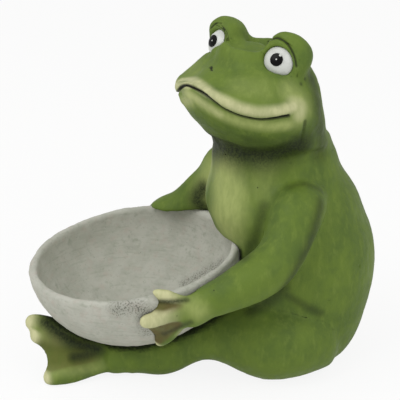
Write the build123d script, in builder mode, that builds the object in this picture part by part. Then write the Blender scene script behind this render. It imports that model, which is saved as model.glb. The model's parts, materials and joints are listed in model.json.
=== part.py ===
from build123d import *
from math import asin, cos, degrees, radians, sin, sqrt
import os

# A seated clay frog that holds a stone-finished bowl on its stretched legs.
# Millimetres, Z up. The legs point along -Y and the frog's left side is +X.
# The origin is the centre of the flat seat that the figure rests on.

# Torso: a stack of ovals from the seat to the neck
torso_height = 168.0
torso_half_width = 68.0
torso_levels_share = (0.0, 0.06, 0.155, 0.315, 0.465, 0.6, 0.665, 0.74, 0.84, 0.93, 1.0)
torso_width_share = (0.66, 0.79, 0.89, 0.98, 1.0, 0.96, 0.92, 0.87, 0.79, 0.72, 0.68)
torso_depth_share = (0.63, 0.78, 0.87, 0.95, 0.94, 0.9, 0.9, 0.89, 0.79, 0.71, 0.66)
torso_shift_share = (0.04, 0.04, 0.05, 0.08, 0.13, 0.13, 0.07, 0.01, -0.05, -0.1, -0.13)

# Bowl: half an ellipsoid with a rounded rim, leaning forward and a little to the frog's left
bowl_radius = 81.0
bowl_depth = 65.0
bowl_wall = 6.5
bowl_reach = 116.5
bowl_rim_height = 87.5
bowl_lean = 8.0
bowl_side_lean = 1.5

# Head: a stack of ovals from the neck to the crown, turned to the frog's left,
# that tilt up to the muzzle at the lips and down to it at the crown
head_turn = 28.0
head_rise = 81.0
head_half_width = 57.0
head_tilt = 20.0
head_levels_share = (0.0, 0.1, 0.235, 0.37, 0.48, 0.556, 0.716, 0.858, 0.945, 0.98)
head_width_share = (0.81, 0.83, 0.9, 0.97, 1.02, 1.0, 0.886, 0.702, 0.474, 0.228)
head_front_share = (0.79, 0.895, 1.14, 1.316, 1.377, 1.307, 1.1, 1.02, 0.877, 0.667)
head_back_share = (0.79, 0.73, 0.64, 0.56, 0.51, 0.465, 0.41, 0.254, 0.0, -0.21)
head_tilt_share = (0.0, 0.2, 0.5, 0.8, 1.0, 0.85, 0.4, -0.15, -0.4, -0.45)

# Mouth: a groove between the lips, peaked at the muzzle and level at the corners
mouth_height = 58.3
mouth_drop = 15.7
mouth_corner = 20.0
mouth_width = 1.8
mouth_depth = 3.0
mouth_across_share = (0.0, 0.14, 0.33, 0.58, 0.82, 1.05)
mouth_fall_share = (0.0, 0.04, 0.38, 0.84, 1.0, 0.94)

# Nostrils: short slits that slant down the snout
nostril_apart = 6.0
nostril_forward = 56.5
nostril_height = 67.7
nostril_length = 5.0
nostril_width = 1.6
nostril_depth = 2.5
nostril_slant = 35.0

# Eyes: a mound on the head, a ball in its socket, a rolled lid and a painted pupil
dome_radius = 17.8
dome_apart = 33.0
dome_forward = 19.0
dome_height = 78.0
eye_radius = 12.2
eye_apart = 30.0
eye_forward = 22.6
eye_height = 74.2
eye_splay = 18.0
eye_rise = 6.0
socket_forward = 2.0
left_pupil_turn = 11.5
right_pupil_turn = 9.5
pupil_rise = 25.0
pupil_radius = 4.5
pupil_thickness = 0.5
lid_roll = 2.6
lid_forward = 2.8
lid_sweep_angle = 215.0
lid_tilt = 25.0

# Arms: circles along a route from the shoulder to the wrist
arm_spread = 85.0
arm_reach = 94.0
shoulder_height = 140.0
arm_radius = 18.5
arm_radius_share = (0.62, 1.03, 1.0, 0.94, 0.84, 0.72, 0.64, 0.45)
left_arm_across_share = (0.4, 0.55, 0.765, 0.89, 0.96)
left_arm_back_share = (0.08, 0.01, -0.145, -0.33, -0.58)
left_arm_rise_share = (1.06, 1.0, 0.86, 0.718, 0.646)
right_arm_across_share = (0.36, 0.5, 0.62, 0.7, 0.8)
right_arm_back_share = (-0.13, -0.25, -0.44, -0.63, -0.86)
right_arm_rise_share = (1.04, 0.98, 0.84, 0.69, 0.62)
forearm_along_share = (0.5, 0.9, 1.2)
forearm_bow_share = (0.32, 0.42, 0.42)

# Fingers and toes are narrowest a little past half way
digit_waist_share = 0.55

# Hands: a palm, three fingers and the web between them, fitted to the wall of the bowl
left_hand_angle = 21.0
right_hand_angle = 9.0
left_palm_level = 12.0
right_palm_level = 24.0
palm_radius = 12.5
palm_thickness = 11.0
finger_length = 47.0
finger_radius = 5.6
finger_waist_share = 0.85
finger_root_share = 1.35
finger_root_lift_share = 1.35
finger_start_share = (0.5, 0.0, -0.35)
finger_end_share = (0.4, -0.02, -0.67)
finger_reach_share = (0.62, 0.92, 0.67)
finger_girth_share = (0.82, 1.0, 0.68)
finger_lift_share = (-0.2, 0.9, 0.9)
hand_web_thickness = 4.0
hand_web_dip_share = 0.16

# Legs: ovals across a leg that runs from inside the hip to the ankle
leg_length = 134.0
leg_half_width = 35.5
leg_half_height = 30.0
leg_places_share = (0.25, 0.11, -0.075, -0.26, -0.42, -0.53, -0.72, -0.9, -1.0, -1.08)
leg_across_share = (0.85, 1.13, 1.33, 1.3, 1.1, 0.97, 0.82, 0.73, 0.7, 0.68)
leg_width_share = (0.4, 0.85, 1.0, 0.93, 0.7, 0.56, 0.48, 0.4, 0.35, 0.22)
leg_rise_share = (1.0, 1.0, 1.0, 1.0, 1.03, 0.97, 0.58, 0.5, 0.5, 0.5)
leg_height_share = (0.7, 0.97, 1.02, 1.0, 0.72, 0.56, 0.58, 0.46, 0.42, 0.28)
right_leg_draw = 28.0

# Feet: three webbed toes that fan out from the ankle in a tilted plane
foot_tilt = 63.0
toe_length = 68.0
toe_radius = 6.2
toe_along_share = (0.86, 0.96, 1.0)
toe_across_share = (-0.16, 0.34, 0.5)
toe_root_along_share = -0.12
toe_root_across_share = (-0.1, 0.0, 0.08)
toe_root_share = 1.3
toe_waist_share = 0.9
foot_web_thickness = 4.5
foot_web_dip_share = 0.14


def turned(across, back, angle):
    """A place on the ground, turned towards the frog's left."""
    return (
        across * cos(radians(angle)) - back * sin(radians(angle)),
        across * sin(radians(angle)) + back * cos(radians(angle)),
    )


def across_plane(point, heading):
    """A plane across a limb, with its sides kept level."""
    level = heading.cross(Vector(0, 0, 1)).normalized()
    return Plane(origin=point, x_dir=level, z_dir=heading.normalized())


def limb_planes(route):
    """The planes across a limb at each place of its route."""
    ends = [route[0]] + list(route) + [route[-1]]
    return [
        across_plane(place, after - before)
        for before, place, after in zip(ends[:-2], route, ends[2:])
    ]


def digit_points(length, root, waist, tip):
    """The outline of a finger or toe beside its axis, from the middle of its root to its tip."""
    return [
        (0, root),
        (length * digit_waist_share, waist),
        (length - tip, tip),
        (length - tip + tip * cos(radians(45)), tip * sin(radians(45))),
        (length, 0),
    ]


def web_dip(here, there, dip_share):
    """The lowest place of a web's hollow edge between two digits that fan out from (0, 0)."""
    across = sqrt((there[0] - here[0]) ** 2 + (there[1] - here[1]) ** 2)
    middle = ((here[0] + there[0]) / 2, (here[1] + there[1]) / 2)
    kept = 1 - dip_share * across / sqrt(middle[0] ** 2 + middle[1] ** 2)
    return (middle[0] * kept, middle[1] * kept)


os.makedirs("parts", exist_ok=True)

# Bowl
bowl_up = Vector(
    sin(radians(bowl_side_lean)),
    -sin(radians(bowl_lean)) * cos(radians(bowl_side_lean)),
    cos(radians(bowl_lean)) * cos(radians(bowl_side_lean)),
)
bowl_left = Vector(0, 1, 0).cross(bowl_up).normalized()
bowl_frame = Plane(origin=(0, -bowl_reach, bowl_rim_height), x_dir=bowl_left, z_dir=bowl_up)
bowl_half = Plane(origin=bowl_frame.origin, x_dir=bowl_left, z_dir=-bowl_frame.y_dir)
bowl_axis = Axis(bowl_frame.origin, bowl_up)

with BuildPart() as bowl:
    with BuildSketch(bowl_half):
        with BuildLine():
            EllipticalCenterArc((0, 0), bowl_radius, bowl_depth, start_angle=-90, arc_size=90)
            ThreePointArc(
                (bowl_radius, 0),
                (bowl_radius - bowl_wall / 2, bowl_wall / 2),
                (bowl_radius - bowl_wall, 0),
            )
            EllipticalCenterArc(
                (0, 0), bowl_radius - bowl_wall, bowl_depth - bowl_wall, start_angle=-90, arc_size=90
            )
            Line((0, -bowl_depth), (0, bowl_wall - bowl_depth))
        make_face()
    revolve(axis=bowl_axis)
bowl.part.label = "bowl"
export_step(bowl.part, "parts/bowl.step")

# The room that the bowl takes, which the clay pieces around it are fitted to
with BuildPart() as bowl_room:
    with BuildSketch(bowl_half):
        with BuildLine():
            EllipticalCenterArc((0, 0), bowl_radius, bowl_depth, start_angle=-90, arc_size=90)
            rim_turn = ThreePointArc(
                (bowl_radius, 0),
                (bowl_radius - bowl_wall / 2 + bowl_wall / sqrt(8), bowl_wall / sqrt(8)),
                (bowl_radius - bowl_wall / 2, bowl_wall / 2),
            )
            Line(rim_turn @ 1, (0, bowl_wall / 2))
            Line((0, bowl_wall / 2), (0, -bowl_depth))
        make_face()
    revolve(axis=bowl_axis)

# Torso
with BuildPart() as torso:
    for level, width, depth, shift in zip(
        torso_levels_share, torso_width_share, torso_depth_share, torso_shift_share
    ):
        with BuildSketch(Plane.XY.offset(level * torso_height)):
            with Locations((0, shift * torso_half_width)):
                Ellipse(width * torso_half_width, depth * torso_half_width)
    loft()
    add(bowl_room.part, mode=Mode.SUBTRACT)
torso.part.label = "torso"
export_step(torso.part, "parts/torso.step")

# Head
neck_back = torso_shift_share[-1] * torso_half_width
head_left = Vector(*turned(1, 0, head_turn), 0)
head_frame = Plane(origin=(0, neck_back, torso_height), x_dir=head_left, z_dir=(0, 0, 1))
muzzle_plane = Plane(origin=head_frame.origin, x_dir=head_left, z_dir=-head_frame.y_dir)


def head_stack(inset):
    """The ovals of the head as (plane, half width, half length), drawn in by an inset."""
    return [
        (
            Plane(
                origin=head_place(1, 0, (front - back) * head_half_width / 2, level * head_rise),
                x_dir=head_left,
                z_dir=head_heading(0, 90 + tilt * head_tilt),
            ),
            width * head_half_width - inset,
            (back + front) * head_half_width / 2 / cos(radians(tilt * head_tilt)) - inset,
        )
        for level, width, front, back, tilt in zip(
            head_levels_share,
            head_width_share,
            head_front_share,
            head_back_share,
            head_tilt_share,
        )
    ]


def head_place(side, apart, forward, height):
    """A place on the head, measured from the neck."""
    return head_frame.from_local_coords(Vector(side * apart, -forward, height))


def head_heading(splay, rise):
    """A direction splayed from the muzzle towards the frog's left and raised."""
    angle = head_turn + splay
    return Vector(
        sin(radians(angle)) * cos(radians(rise)),
        -cos(radians(angle)) * cos(radians(rise)),
        sin(radians(rise)),
    )


balls = {}
lids = {}
for side, name, pupil_turn in ((1, "left", left_pupil_turn), (-1, "right", right_pupil_turn)):
    ball_centre = head_place(side, eye_apart, eye_forward, eye_height)
    facing = head_heading(side * eye_splay, eye_rise)
    looking = head_heading(side * eye_splay + pupil_turn, pupil_rise)
    with BuildPart() as eyeball:
        with Locations(ball_centre):
            Sphere(eye_radius)
    eyeball.part.label = name + "_eyeball"
    export_step(eyeball.part, "parts/" + name + "_eyeball.step")

    lid_frame = across_plane(ball_centre, facing)
    lid_start = radians(-90 - side * lid_tilt - lid_sweep_angle / 2)
    lid_end_plane = Plane(
        origin=ball_centre,
        x_dir=lid_frame.x_dir * cos(lid_start) + lid_frame.y_dir * sin(lid_start),
        z_dir=lid_frame.x_dir * sin(lid_start) - lid_frame.y_dir * cos(lid_start),
    )
    with BuildPart() as eyelid:
        with BuildSketch(lid_end_plane):
            with Locations((sqrt(eye_radius**2 - lid_forward**2) + lid_roll / 2, lid_forward)):
                Circle(lid_roll)
        revolve(axis=Axis(ball_centre, facing), revolution_arc=lid_sweep_angle)
        add(eyeball.part, mode=Mode.SUBTRACT)
    eyelid.part.label = name + "_eyelid"
    export_step(eyelid.part, "parts/" + name + "_eyelid.step")

    pupil_half = Plane(
        origin=ball_centre, x_dir=looking, z_dir=looking.cross(Vector(0, 0, 1)).normalized()
    )
    pupil_angle = degrees(asin(pupil_radius / eye_radius))
    with BuildPart() as pupil:
        with BuildSketch(pupil_half):
            with BuildLine():
                back = CenterArc((0, 0), eye_radius, 0, pupil_angle)
                front = CenterArc((0, 0), eye_radius + pupil_thickness, 0, pupil_angle)
                Line(back @ 0, front @ 0)
                Line(back @ 1, front @ 1)
            make_face()
        revolve(axis=Axis(ball_centre, looking))
    pupil.part.label = name + "_pupil"
    export_step(pupil.part, "parts/" + name + "_pupil.step")
    balls[side] = eyeball.part
    lids[side] = eyelid.part

# Half of the head's core, as deep as the mouth is cut
with BuildPart() as head_core:
    for plane, width, length in head_stack(mouth_depth):
        with BuildSketch(plane):
            with BuildLine():
                EllipticalCenterArc((0, 0), width, length, start_angle=-90, arc_size=180)
                Line((0, -length), (0, length))
            make_face()
    loft()

mouth_line = [
    (across * head_half_width, mouth_height - fall * mouth_drop)
    for across, fall in zip(mouth_across_share, mouth_fall_share)
]
with BuildPart() as mouth:
    with BuildSketch(muzzle_plane.offset(mouth_corner)):
        with BuildLine():
            upper = Spline(*[(across, height + mouth_width / 2) for across, height in mouth_line])
            lower = Spline(*[(across, height - mouth_width / 2) for across, height in mouth_line])
            Line(upper @ 0, lower @ 0)
            Line(upper @ 1, lower @ 1)
        make_face()
    extrude(amount=2 * head_half_width)
    add(head_core.part, mode=Mode.SUBTRACT)

with BuildPart() as dome:
    with Locations(head_place(1, dome_apart, dome_forward, dome_height)):
        Sphere(dome_radius)
    eye_front = head_heading(eye_splay, eye_rise)
    split(
        bisect_by=Plane(
            origin=head_place(1, eye_apart, eye_forward, eye_height) + eye_front * socket_forward,
            z_dir=eye_front,
        ),
        keep=Keep.BOTTOM,
    )

nostril_plane = Plane(
    origin=head_place(1, nostril_apart, nostril_forward, nostril_height),
    x_dir=head_left,
    z_dir=head_heading(0, 45),
)
with BuildPart() as head:
    for plane, width, length in head_stack(0):
        with BuildSketch(plane):
            with BuildLine():
                EllipticalCenterArc((0, 0), width, length, start_angle=-90, arc_size=180)
                Line((0, -length), (0, length))
            make_face()
    loft()
    add(dome.part)
    add(mouth.part, mode=Mode.SUBTRACT)
    add(balls[1], mode=Mode.SUBTRACT)
    add(lids[1], mode=Mode.SUBTRACT)
    with BuildSketch(nostril_plane):
        SlotOverall(nostril_length, nostril_width, rotation=90 + nostril_slant)
    extrude(amount=nostril_depth, both=True, mode=Mode.SUBTRACT)
    mirror(about=Plane(origin=head_frame.origin, z_dir=head_left))
head.part.label = "head"
export_step(head.part, "parts/head.step")


def bowl_place(side, angle, level, outward):
    """A place beside the bowl's wall: an angle back from its side, a level from its rim."""
    radius = bowl_radius * sqrt(1 - min(0, level / bowl_depth) ** 2) + outward
    return bowl_frame.from_local_coords(
        Vector(side * radius * cos(radians(angle)), radius * sin(radians(angle)), level)
    )


# A skin on the bowl's wall, which the webs of the hands are cut from
with BuildPart() as bowl_skin:
    with BuildSketch(bowl_half):
        with BuildLine():
            EllipticalCenterArc(
                (0, 0),
                bowl_radius + hand_web_thickness,
                bowl_depth + hand_web_thickness,
                start_angle=-90,
                arc_size=90,
            )
            Line((bowl_radius + hand_web_thickness, 0), (bowl_radius, 0))
            EllipticalCenterArc((0, 0), bowl_radius, bowl_depth, start_angle=-90, arc_size=90)
            Line((0, -bowl_depth), (0, -bowl_depth - hand_web_thickness))
        make_face()
    revolve(axis=bowl_axis)

finger_angle = degrees(finger_length / bowl_radius)
left_route_shares = (left_arm_across_share, left_arm_back_share, left_arm_rise_share)
right_route_shares = (right_arm_across_share, right_arm_back_share, right_arm_rise_share)
arms = (
    (1, "left", left_route_shares, left_hand_angle, left_palm_level),
    (-1, "right", right_route_shares, right_hand_angle, right_palm_level),
)
for side, name, route_shares, hand_angle, palm_level in arms:
    route = [
        Vector(side * across * arm_spread, back * arm_reach, rise * shoulder_height)
        for across, back, rise in zip(*route_shares)
    ]
    palm = bowl_place(side, hand_angle, -palm_level, 0)
    outward = palm - bowl_place(side, hand_angle, -palm_level, -palm_radius)
    elbow = route[-1]
    route += [
        elbow + (palm - elbow) * along + outward.normalized() * bow * palm_thickness
        for along, bow in zip(forearm_along_share, forearm_bow_share)
    ]
    palm_plane = Plane(origin=palm, x_dir=bowl_up, z_dir=outward.normalized())
    palm_half = Plane(origin=palm, x_dir=outward.normalized(), z_dir=palm_plane.y_dir)
    fingers = [
        (
            bowl_place(
                side,
                hand_angle,
                start * palm_radius - palm_level,
                finger_root_lift_share * finger_radius,
            ),
            bowl_place(
                side,
                hand_angle - reach * finger_angle,
                end * finger_length - palm_level,
                lift * girth * finger_radius,
            ),
            girth * finger_radius,
        )
        for start, end, reach, girth, lift in zip(
            finger_start_share,
            finger_end_share,
            finger_reach_share,
            finger_girth_share,
            finger_lift_share,
        )
    ]
    web_tips = [
        palm_plane.to_local_coords(root + (tip - root) * (1 - girth / (tip - root).length))
        for root, tip, girth in fingers
    ]
    with BuildPart() as hand_web:
        with BuildSketch(palm_plane.offset(-palm_radius)):
            with BuildLine():
                corners = [(tip.X, tip.Y) for tip in web_tips]
                for here, there in zip(corners[:-1], corners[1:]):
                    ThreePointArc(here, web_dip(here, there, hand_web_dip_share), there)
                Line(corners[-1], (0, 0))
                Line((0, 0), corners[0])
            make_face()
        extrude(amount=3 * palm_radius)
        add(bowl_skin.part, mode=Mode.INTERSECT)
    with BuildPart() as arm:
        for plane, radius in zip(limb_planes(route), arm_radius_share):
            with BuildSketch(plane):
                Circle(radius * arm_radius)
        loft()
        with BuildSketch(palm_half):
            with BuildLine():
                EllipticalCenterArc((0, 0), palm_thickness, palm_radius, start_angle=0, arc_size=180)
                Line((-palm_thickness, 0), (palm_thickness, 0))
            make_face()
        revolve(axis=Axis(palm, outward))
        for root, tip, girth in fingers:
            axis = tip - root
            with BuildSketch(Plane(origin=root, x_dir=axis, z_dir=axis.cross(Vector(0, 0, 1)))):
                with BuildLine():
                    side_line = Spline(
                        *digit_points(
                            axis.length,
                            girth * finger_root_share,
                            girth * finger_waist_share,
                            girth,
                        )
                    )
                    Line((0, 0), side_line @ 0)
                    Line((0, 0), side_line @ 1)
                make_face()
            revolve(axis=Axis(root, axis))
        add(hand_web.part)
        add(bowl_room.part, mode=Mode.SUBTRACT)
        add(torso.part, mode=Mode.SUBTRACT)
    arm.part.label = name + "_arm"
    export_step(arm.part, "parts/" + name + "_arm.step")

for side, name, draw in ((1, "left", 0), (-1, "right", right_leg_draw)):
    ankle = Vector(
        side * leg_across_share[-1] * leg_half_width,
        draw - leg_length,
        leg_rise_share[-1] * leg_half_height,
    )
    foot_plane = Plane(
        origin=ankle,
        x_dir=(0, -1, 0),
        z_dir=(-sin(radians(foot_tilt)), 0, -side * cos(radians(foot_tilt))),
    )
    toe_roots = [
        (toe_root_along_share * toe_length, across * toe_length)
        for across in toe_root_across_share
    ]
    toe_ends = [
        (along * toe_length, across * toe_length)
        for along, across in zip(toe_along_share, toe_across_share)
    ]
    with BuildPart() as leg:
        for place, across, width, rise, height in zip(
            leg_places_share, leg_across_share, leg_width_share, leg_rise_share, leg_height_share
        ):
            drawn = draw * max(0, -place)
            with BuildSketch(
                Plane(
                    origin=(
                        side * across * leg_half_width,
                        place * leg_length + drawn,
                        rise * leg_half_height,
                    ),
                    x_dir=(1, 0, 0),
                    z_dir=(0, -1, 0),
                )
            ):
                Ellipse(width * leg_half_width, height * leg_half_height)
        loft()
        for toe_root, toe_end in zip(toe_roots, toe_ends):
            root = foot_plane.from_local_coords(Vector(*toe_root, 0))
            axis = foot_plane.from_local_coords(Vector(*toe_end, 0)) - root
            with BuildSketch(Plane(origin=root, x_dir=axis, z_dir=axis.cross(Vector(0, 0, 1)))):
                with BuildLine():
                    side_line = Spline(
                        *digit_points(
                            axis.length,
                            toe_radius * toe_root_share,
                            toe_radius * toe_waist_share,
                            toe_radius,
                        )
                    )
                    Line((0, 0), side_line @ 0)
                    Line((0, 0), side_line @ 1)
                make_face()
            revolve(axis=Axis(root, axis))
        with BuildSketch(foot_plane.offset(-foot_web_thickness / 2)):
            with BuildLine():
                corners = [(along - toe_radius, across) for along, across in toe_ends]
                for here, there in zip(corners[:-1], corners[1:]):
                    ThreePointArc(here, web_dip(here, there, foot_web_dip_share), there)
                Line(corners[-1], toe_roots[-1])
                Line(toe_roots[-1], toe_roots[0])
                Line(toe_roots[0], corners[0])
            make_face()
        extrude(amount=foot_web_thickness)
        add(torso.part, mode=Mode.SUBTRACT)
        add(bowl_room.part, mode=Mode.SUBTRACT)
        split(bisect_by=Plane.XY, keep=Keep.TOP)
    leg.part.label = name + "_leg"
    export_step(leg.part, "parts/" + name + "_leg.step")
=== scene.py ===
"""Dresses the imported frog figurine: its clay skin, stone bowl, glazed eyes, paint, studio and camera."""

import json
import logging
import math
from collections.abc import Iterator
from contextlib import contextmanager
from dataclasses import dataclass, replace
from enum import Enum

import bpy
import numpy as np
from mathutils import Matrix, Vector
from mathutils.bvhtree import BVHTree
from mathutils.kdtree import KDTree

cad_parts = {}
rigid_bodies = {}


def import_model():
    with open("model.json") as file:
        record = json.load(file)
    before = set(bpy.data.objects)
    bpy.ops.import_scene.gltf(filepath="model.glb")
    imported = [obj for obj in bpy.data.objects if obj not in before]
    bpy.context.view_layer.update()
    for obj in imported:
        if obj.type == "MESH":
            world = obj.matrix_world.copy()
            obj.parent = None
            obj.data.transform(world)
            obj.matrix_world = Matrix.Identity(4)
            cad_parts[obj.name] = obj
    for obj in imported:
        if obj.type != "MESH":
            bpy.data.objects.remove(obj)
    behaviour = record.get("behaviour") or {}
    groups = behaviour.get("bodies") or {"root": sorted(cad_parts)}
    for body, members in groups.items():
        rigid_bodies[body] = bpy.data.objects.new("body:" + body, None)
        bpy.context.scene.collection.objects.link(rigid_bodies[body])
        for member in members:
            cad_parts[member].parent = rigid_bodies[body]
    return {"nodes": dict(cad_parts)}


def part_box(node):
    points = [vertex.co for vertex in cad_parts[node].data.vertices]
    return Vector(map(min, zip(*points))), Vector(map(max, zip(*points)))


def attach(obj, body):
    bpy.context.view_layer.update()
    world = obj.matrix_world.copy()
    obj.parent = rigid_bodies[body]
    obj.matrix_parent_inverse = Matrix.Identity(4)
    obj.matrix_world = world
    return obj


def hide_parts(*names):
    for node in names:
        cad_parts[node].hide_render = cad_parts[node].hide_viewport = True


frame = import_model()

MM = 0.001
TINY = 1e-9
WEIGHT_STEPS = 50
SMOOTHING = 0.5
# Vertices of a node that are this near, in millimetres, are one
MERGE = 0.002
log = logging.getLogger("frog")

Piece, Tree, Material = bpy.types.Object, bpy.types.NodeTree, bpy.types.Material
# Numbers, or rows of three of them, for many points at once
Rows = np.ndarray
Triple = tuple[float, float, float]
# Where a thing is in the picture, from its left and top edge, and a line through such spots
Spot = tuple[float, float]
Line = tuple[Spot, ...]
# Names, each with two measures
Table = tuple[tuple[str, float, float], ...]
# A node and the name of one of its outputs
Output = tuple[bpy.types.Node, str]


def linear(code: str) -> tuple[float, float, float, float]:
    """Turns an sRGB hex colour to linear red, green, blue and alpha.

    Args:
        code: The colour as "#RRGGBB".

    Returns:
        Four linear numbers from 0 to 1.
    """
    parts = [int(code[i:i + 2], 16) / 255 for i in (1, 3, 5)]
    straight = [c / 12.92 if c <= 0.04045 else ((c + 0.055) / 1.055) ** 2.4 for c in parts]
    return (*straight, 1.0)


def smooth_step(values: Rows) -> Rows:
    """Eases numbers from 0 to 1, and holds them there outside."""
    held = np.clip(values, 0.0, 1.0)
    return held * held * (3 - 2 * held)


def towards(azimuth: float, elevation: float) -> Vector:
    """The direction that lies so many degrees round from the front and so many up."""
    a, e = math.radians(azimuth), math.radians(elevation)
    return Vector((math.sin(a) * math.cos(e), -math.cos(a) * math.cos(e), math.sin(e)))


def lay_down() -> None:
    """Leaves edit mode and deselects everything."""
    if bpy.context.object and bpy.context.object.mode != "OBJECT":
        bpy.ops.object.mode_set(mode="OBJECT")
    bpy.ops.object.select_all(action="DESELECT")


def pick_up(*things: Piece) -> None:
    """Selects objects alone and makes the first one active.

    Args:
        things: The objects.
    """
    lay_down()
    for thing in things:
        thing.select_set(True)
    bpy.context.view_layer.objects.active = things[0]


@contextmanager
def editing(kind: str, action: str) -> Iterator[None]:
    """Edits the active piece.

    Args:
        kind: The kind of element, "VERT", "EDGE" or "FACE".
        action: What is done to the selection first, "SELECT" or "DESELECT".
    """
    bpy.ops.object.mode_set(mode="EDIT")
    bpy.ops.mesh.select_mode(type=kind)
    bpy.ops.mesh.select_all(action=action)
    yield
    bpy.ops.object.mode_set(mode="OBJECT")


def copy_node(*names: str) -> Piece:
    """Copies CAD nodes into one loose object and merges their doubles.

    Args:
        names: The nodes to copy.

    Returns:
        The new object, at the origin and on no body.
    """
    pick_up(*[frame["nodes"][name] for name in names])
    bpy.ops.object.duplicate()
    bpy.ops.object.parent_clear(type="CLEAR_KEEP_TRANSFORM")
    copies = list(bpy.context.selected_objects)
    for copy in copies:
        copy.data.materials.clear()
    pick_up(*copies)
    if len(copies) > 1:
        bpy.ops.object.join()
    made = bpy.context.object
    with editing("VERT", "SELECT"):
        bpy.ops.mesh.remove_doubles(threshold=MERGE * MM)
    return made


def rename(piece: Piece, name: str) -> Piece:
    """Names an object and its mesh alike, and returns the object."""
    piece.name = piece.data.name = name
    return piece


def report(piece: Piece) -> None:
    """Logs a finished piece and how many faces it has."""
    log.info("%s: %d faces", piece.name, len(piece.data.polygons))


def select_vertices(piece: Piece, chosen: Rows) -> None:
    """Opens a piece in edit mode with some vertices selected.

    Args:
        piece: The object.
        chosen: True or false for each vertex.
    """
    pick_up(piece)
    with editing("VERT", "DESELECT"):
        pass
    piece.data.vertices.foreach_set("select", chosen)
    bpy.ops.object.mode_set(mode="EDIT")


def apply_modifier(piece: Piece, kind: str, **settings: object) -> None:
    """Adds a modifier to a piece and applies it.

    Args:
        piece: The object.
        kind: The modifier's type, such as "REMESH".
        settings: Its settings by name.
    """
    pick_up(piece)
    modifier = piece.modifiers.new(kind.lower(), kind)
    for key, value in settings.items():
        setattr(modifier, key, value)
    bpy.ops.object.modifier_apply(modifier=modifier.name)


def remesh(piece: Piece, voxel: float) -> None:
    """Gives a piece one even skin with faces this many millimetres across."""
    apply_modifier(piece, "REMESH", mode="VOXEL", voxel_size=voxel * MM)


def soften(piece: Piece, passes: int, group: str = "") -> None:
    """Smooths a piece, or what a vertex group holds of it, in so many passes."""
    apply_modifier(piece, "SMOOTH", factor=SMOOTHING, iterations=passes, vertex_group=group)


def roughen(piece: Piece, lumps: Table) -> None:
    """Raises and sinks cloudy lumps on a piece.

    Args:
        piece: The object.
        lumps: For each kind of lump its name, and its width and height in millimetres.
    """
    for name, size, height in lumps:
        cloud = bpy.data.textures.new(name, "CLOUDS")
        cloud.noise_scale = size * MM
        apply_modifier(
            piece, "DISPLACE", texture=cloud, texture_coords="LOCAL", strength=height * MM, mid_level=0.5,
        )


def vectors(items: bpy.types.bpy_prop_collection, name: str) -> Rows:
    """Reads one vector of each item of a mesh.

    Args:
        items: The mesh's vertices or polygons.
        name: The vector's name.

    Returns:
        The vectors, one row each.
    """
    flat = np.empty(len(items) * 3, np.float32)
    items.foreach_get(name, flat)
    return flat.reshape(-1, 3)


def places(piece: Piece) -> Rows:
    """The piece's vertices in millimetres."""
    return vectors(piece.data.vertices, "co") / MM


def weigh(piece: Piece, name: str, weights: Rows) -> None:
    """Makes a vertex group, or makes it anew, from one weight for each vertex.

    Args:
        piece: The object.
        name: The group's name.
        weights: A weight from 0 to 1 for each vertex.
    """
    old = piece.vertex_groups.get(name)
    if old:
        piece.vertex_groups.remove(old)
    group = piece.vertex_groups.new(name=name)
    steps = np.round(np.clip(weights, 0, 1) * WEIGHT_STEPS).astype(int)
    for step in range(1, WEIGHT_STEPS + 1):
        chosen = np.nonzero(steps == step)[0]
        if len(chosen):
            group.add(chosen.tolist(), step / WEIGHT_STEPS, "REPLACE")


def mark(piece: Piece, name: str, values: Rows) -> None:
    """Stores one number for each vertex, which the paint reads by name."""
    held = piece.data.attributes.new(name, "FLOAT", "POINT")
    held.data.foreach_set("value", values.astype(np.float32))


def patch(points: Rows, centre: Rows, full: float, fade: float) -> Rows:
    """A round patch: 1 at its centre, and less where the distance over fade comes near full."""
    return smooth_step(full - np.linalg.norm(points - centre, axis=1) / fade)


def beside(
    points: Rows, start: Rows, end: Rows, most: float = 1.0
) -> tuple[Rows, Rows]:
    """Measures points against a straight run.

    Args:
        points: The points.
        start: Where the run starts.
        end: Where it ends.
        most: The highest share that is given.

    Returns:
        The share of the run that lies before each point, and each point's distance from the run.
    """
    run = end - start
    along = np.clip((points - start) @ run / max(run @ run, TINY), 0, most)
    return along, np.linalg.norm(points - start - along[:, None] * run, axis=1)


def distance_to_path(points: Rows, path: Rows) -> Rows:
    """Measures how far points are from a path of straight runs.

    Args:
        points: The points.
        path: The path's corners, which may be one or none.

    Returns:
        One distance for each point.
    """
    if len(path) == 1:
        return np.linalg.norm(points - path[0], axis=1)
    nearest = np.full(len(points), np.inf)
    for start, end in zip(path[:-1], path[1:]):
        nearest = np.minimum(nearest, beside(points, start, end)[1])
    return nearest


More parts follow.
